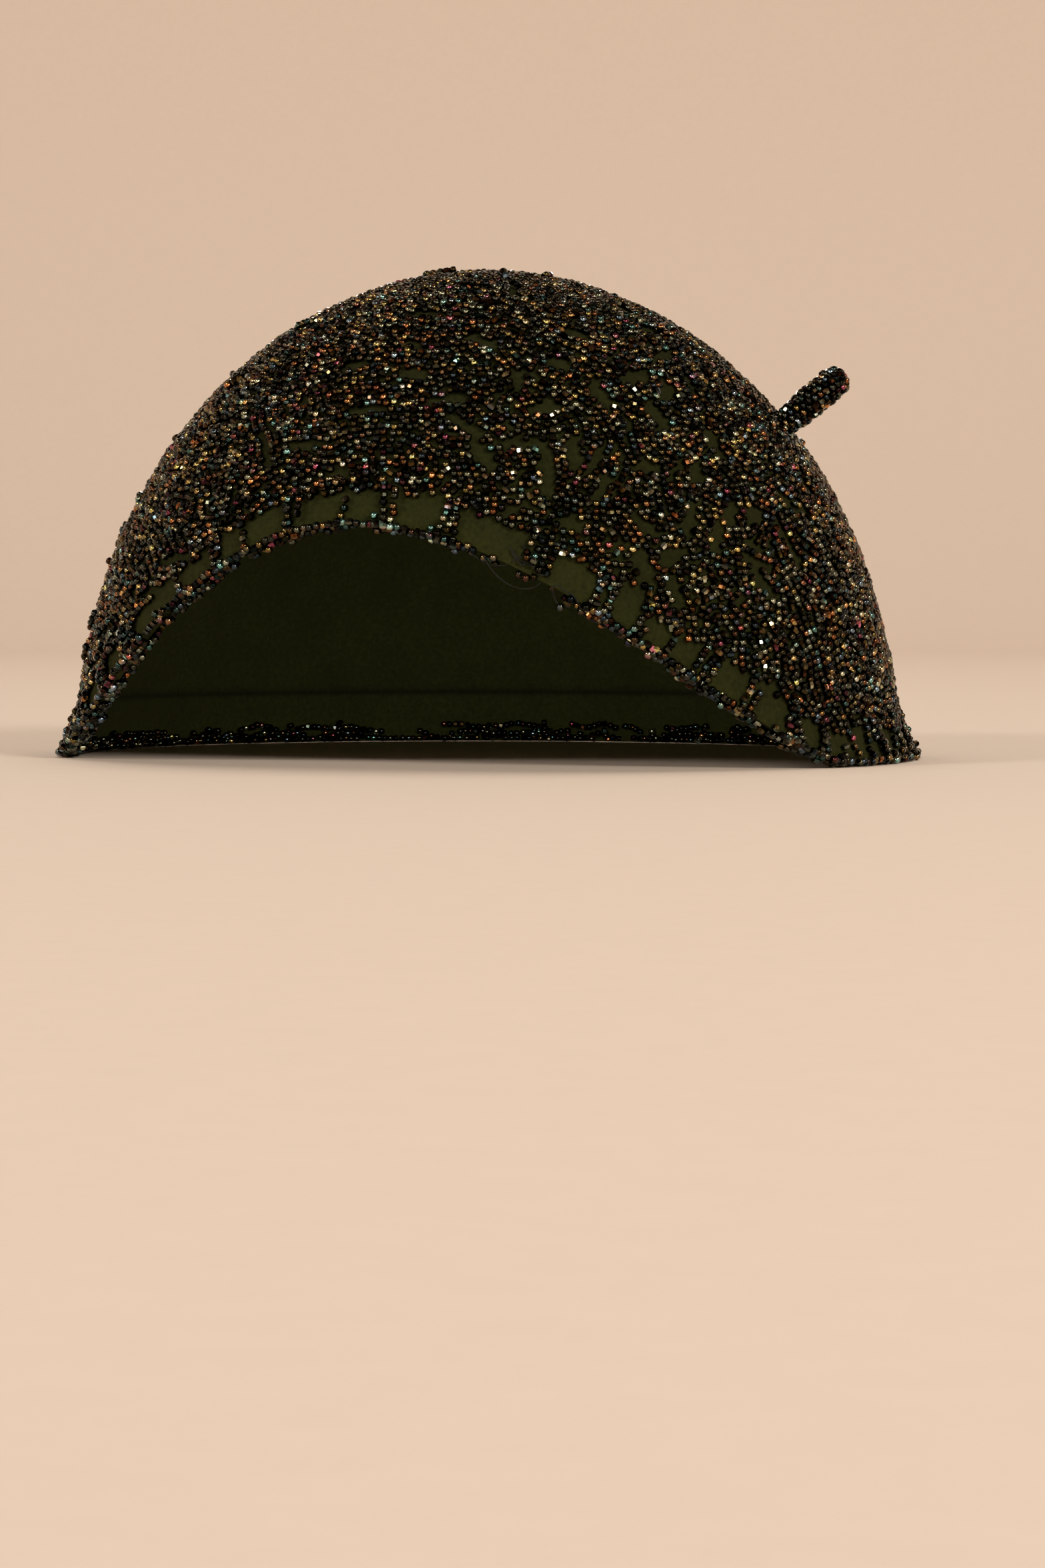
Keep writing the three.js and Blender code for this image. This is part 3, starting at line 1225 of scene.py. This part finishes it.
class CAP_OT_stage(bpy.types.Operator):
    """Lay a pale round floor under the cap, hang the lamps and place the camera"""

    bl_idname = "cap.stage"
    bl_label = "Stage"

    FLOOR_RADIUS = 2.2
    FILLET = 0.9  # radius of the sweep from the floor up to the wall
    FILLET_STEPS = 20
    WALL = 1.6  # height of the wall above the sweep
    ROUND_SIDES = 128
    TARGETS = {"lining": Vector((-0.03, 0.09, 0.05)), "wall": Vector((-0.6, 2.2, 0.0))}
    # Each lamp's name, place, aim, size, share of the main lamp's power, and what it lights
    LAMPS = (
        ("key lamp", (1.63, -1.14, 1.10), "cap", (0.50, 0.50), 1.0, None),
        ("second lamp", (-1.10, -1.60, 1.15), "cap", (0.45, 0.45), 0.55, None),
        ("low card", (0.45, -1.15, 0.085), "cap", (1.5, 0.15), 0.12, "cap"),
        ("hollow lamp", (0.025, -0.05, 0.03), "lining", (0.09, 0.04), 0.0028, "cap"),
        ("back lamp", (-0.7, 1.7, 0.28), "cap", (0.45, 0.45), 0.35, "cap"),
        ("right glint lamp", (1.45, -1.30, 1.15), "cap", (0.2, 0.2), 0.5, "beads"),
        ("left glint lamp", (-0.90, -1.70, 1.20), "cap", (0.2, 0.2), 0.3, "beads"),
        ("overhead lamp", (-0.3, 1.0, 2.6), "wall", (3.2, 3.2), 2.0, "floor"),
    )
    AIR = (1.0, 0.84, 0.68)  # colour of the light from all round
    AIR_STRENGTH = 0.10
    CAP_PIXEL = (747, 772)  # where the middle of the cap falls in the picture
    SENSOR = 36.0

    def bowl(self, lowest):
        """A round floor that sweeps up into a wall on all sides."""
        deselect_all()
        bpy.ops.mesh.primitive_circle_add(
            vertices=self.ROUND_SIDES, radius=self.FLOOR_RADIUS, fill_type="NGON",
            location=(0, 0, lowest),
        )
        floor = bpy.context.object
        floor.name = "floor"
        bpy.ops.object.transform_apply(location=True, rotation=True, scale=True)
        turns = [math.pi / 2 * (step + 1) / self.FILLET_STEPS for step in range(self.FILLET_STEPS)]
        rings = [(self.FILLET * math.sin(turn), self.FILLET * (1 - math.cos(turn))) for turn in turns]
        rings.append((self.FILLET, self.FILLET + self.WALL))
        bpy.ops.object.mode_set(mode="EDIT")
        bpy.ops.mesh.select_all(action="SELECT")
        bpy.ops.mesh.region_to_loop()
        radius, height = self.FLOOR_RADIUS, 0.0
        for out, up in rings:
            bpy.ops.mesh.extrude_region_move(TRANSFORM_OT_translate={"value": (0, 0, up - height)})
            grown = (self.FLOOR_RADIUS + out) / radius
            bpy.ops.transform.resize(value=(grown, grown, 1.0), center_override=(0, 0, lowest))
            radius, height = self.FLOOR_RADIUS + out, up
        bpy.ops.object.mode_set(mode="OBJECT")
        bpy.ops.object.shade_smooth()
        wear(floor, material_of("pale floor", floor_material))
        floor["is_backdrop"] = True
        return floor

    def lamp(self, name, place, target, size, power, tint):
        data = bpy.data.lights.new(name, "AREA")
        data.shape = "ELLIPSE"
        data.size, data.size_y = size
        data.energy = power
        data.color = tint
        lamp = bpy.data.objects.new(name, data)
        bpy.context.scene.collection.objects.link(lamp)
        lamp.location = place
        lamp.rotation_euler = (target - Vector(place)).to_track_quat("-Z", "Y").to_euler()
        lamp.visible_camera = False
        return lamp

    def lit_sets(self, floor):
        """The sets of pieces that some of the lamps are kept to."""
        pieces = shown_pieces()
        beads = [piece for piece in pieces if "bead_tint" in piece.data.attributes]
        lit_sets = {}
        for name, members in (("cap", pieces), ("beads", beads), ("floor", [floor])):
            lit_sets[name] = bpy.data.collections.new("lit " + name)
            for piece in members:
                lit_sets[name].objects.link(piece)
        return lit_sets

    def camera(self, style):
        middle = (CAD_LOW + CAD_HIGH) / 2
        turn, rise = style.azimuth, style.elevation
        back = Vector(
            (math.sin(turn) * math.cos(rise), -math.cos(turn) * math.cos(rise), math.sin(rise))
        )
        wide, tall = IMAGE_SIZE
        data = bpy.data.cameras.new("camera")
        data.sensor_width = self.SENSOR
        data.lens = style.pixels_per_metre * style.distance / tall * data.sensor_width
        camera = bpy.data.objects.new("camera", data)
        bpy.context.scene.collection.objects.link(camera)
        camera.location = middle + back * style.distance
        right = Vector((math.cos(turn), math.sin(turn), 0.0))
        up = back.cross(right)
        aim = middle + right * (wide / 2 - self.CAP_PIXEL[0]) / style.pixels_per_metre
        aim = aim + up * (self.CAP_PIXEL[1] - tall / 2) / style.pixels_per_metre
        camera.rotation_euler = (aim - camera.location).to_track_quat("-Z", "Y").to_euler()
        bpy.context.scene.camera = camera

    def execute(self, context):
        style = context.scene.cap_stage
        low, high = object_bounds()
        lit_sets = self.lit_sets(self.bowl(low.z))
        targets = {"cap": (low + high) / 2, **self.TARGETS}
        tint = tuple(style.lamp)
        for name, place, aim, size, share, lit in self.LAMPS:
            lamp = self.lamp(name, place, targets[aim], size, share * style.lamp_power, tint)
            if lit:
                lamp.light_linking.receiver_collection = lit_sets[lit]
        context.scene.view_settings.view_transform = "Standard"
        world = bpy.data.worlds.new("studio")
        context.scene.world = world
        world.use_nodes = True
        ground = world.node_tree.nodes["Background"]
        ground.inputs["Color"].default_value = rgba(self.AIR)
        ground.inputs["Strength"].default_value = self.AIR_STRENGTH
        self.camera(style)
        return {"FINISHED"}


class CAP_PT_panel(bpy.types.Panel):
    """The cap's sizes, colours and steps"""

    bl_label = "Beaded Cap"
    bl_idname = "CAP_PT_panel"
    bl_space_type = "VIEW_3D"
    bl_region_type = "UI"
    bl_category = "Cap"

    def draw(self, context):
        for holder in STYLES:
            box = self.layout.box()
            style = getattr(context.scene, holder)
            for name in style.__annotations__:
                box.prop(style, name)
        for step in STEPS:
            self.layout.operator(step.bl_idname)


STEPS = (
    CAP_OT_felt_shell,
    CAP_OT_crown_beads,
    CAP_OT_edge_beads,
    CAP_OT_broken_stitches,
    CAP_OT_stem,
    CAP_OT_stage,
)


def register():
    for cls in (*STYLES.values(), *STEPS, CAP_PT_panel):
        bpy.utils.register_class(cls)
    for holder, cls in STYLES.items():
        setattr(bpy.types.Scene, holder, PointerProperty(type=cls))


def unregister():
    for holder in STYLES:
        delattr(bpy.types.Scene, holder)
    for cls in reversed((*STYLES.values(), *STEPS, CAP_PT_panel)):
        bpy.utils.unregister_class(cls)


def main():
    register()
    bpy.ops.cap.felt_shell()
    bpy.ops.cap.crown_beads()
    bpy.ops.cap.edge_beads()
    bpy.ops.cap.broken_stitches()
    bpy.ops.cap.stem()
    bpy.ops.cap.stage()


if __name__ == "__main__":
    main()
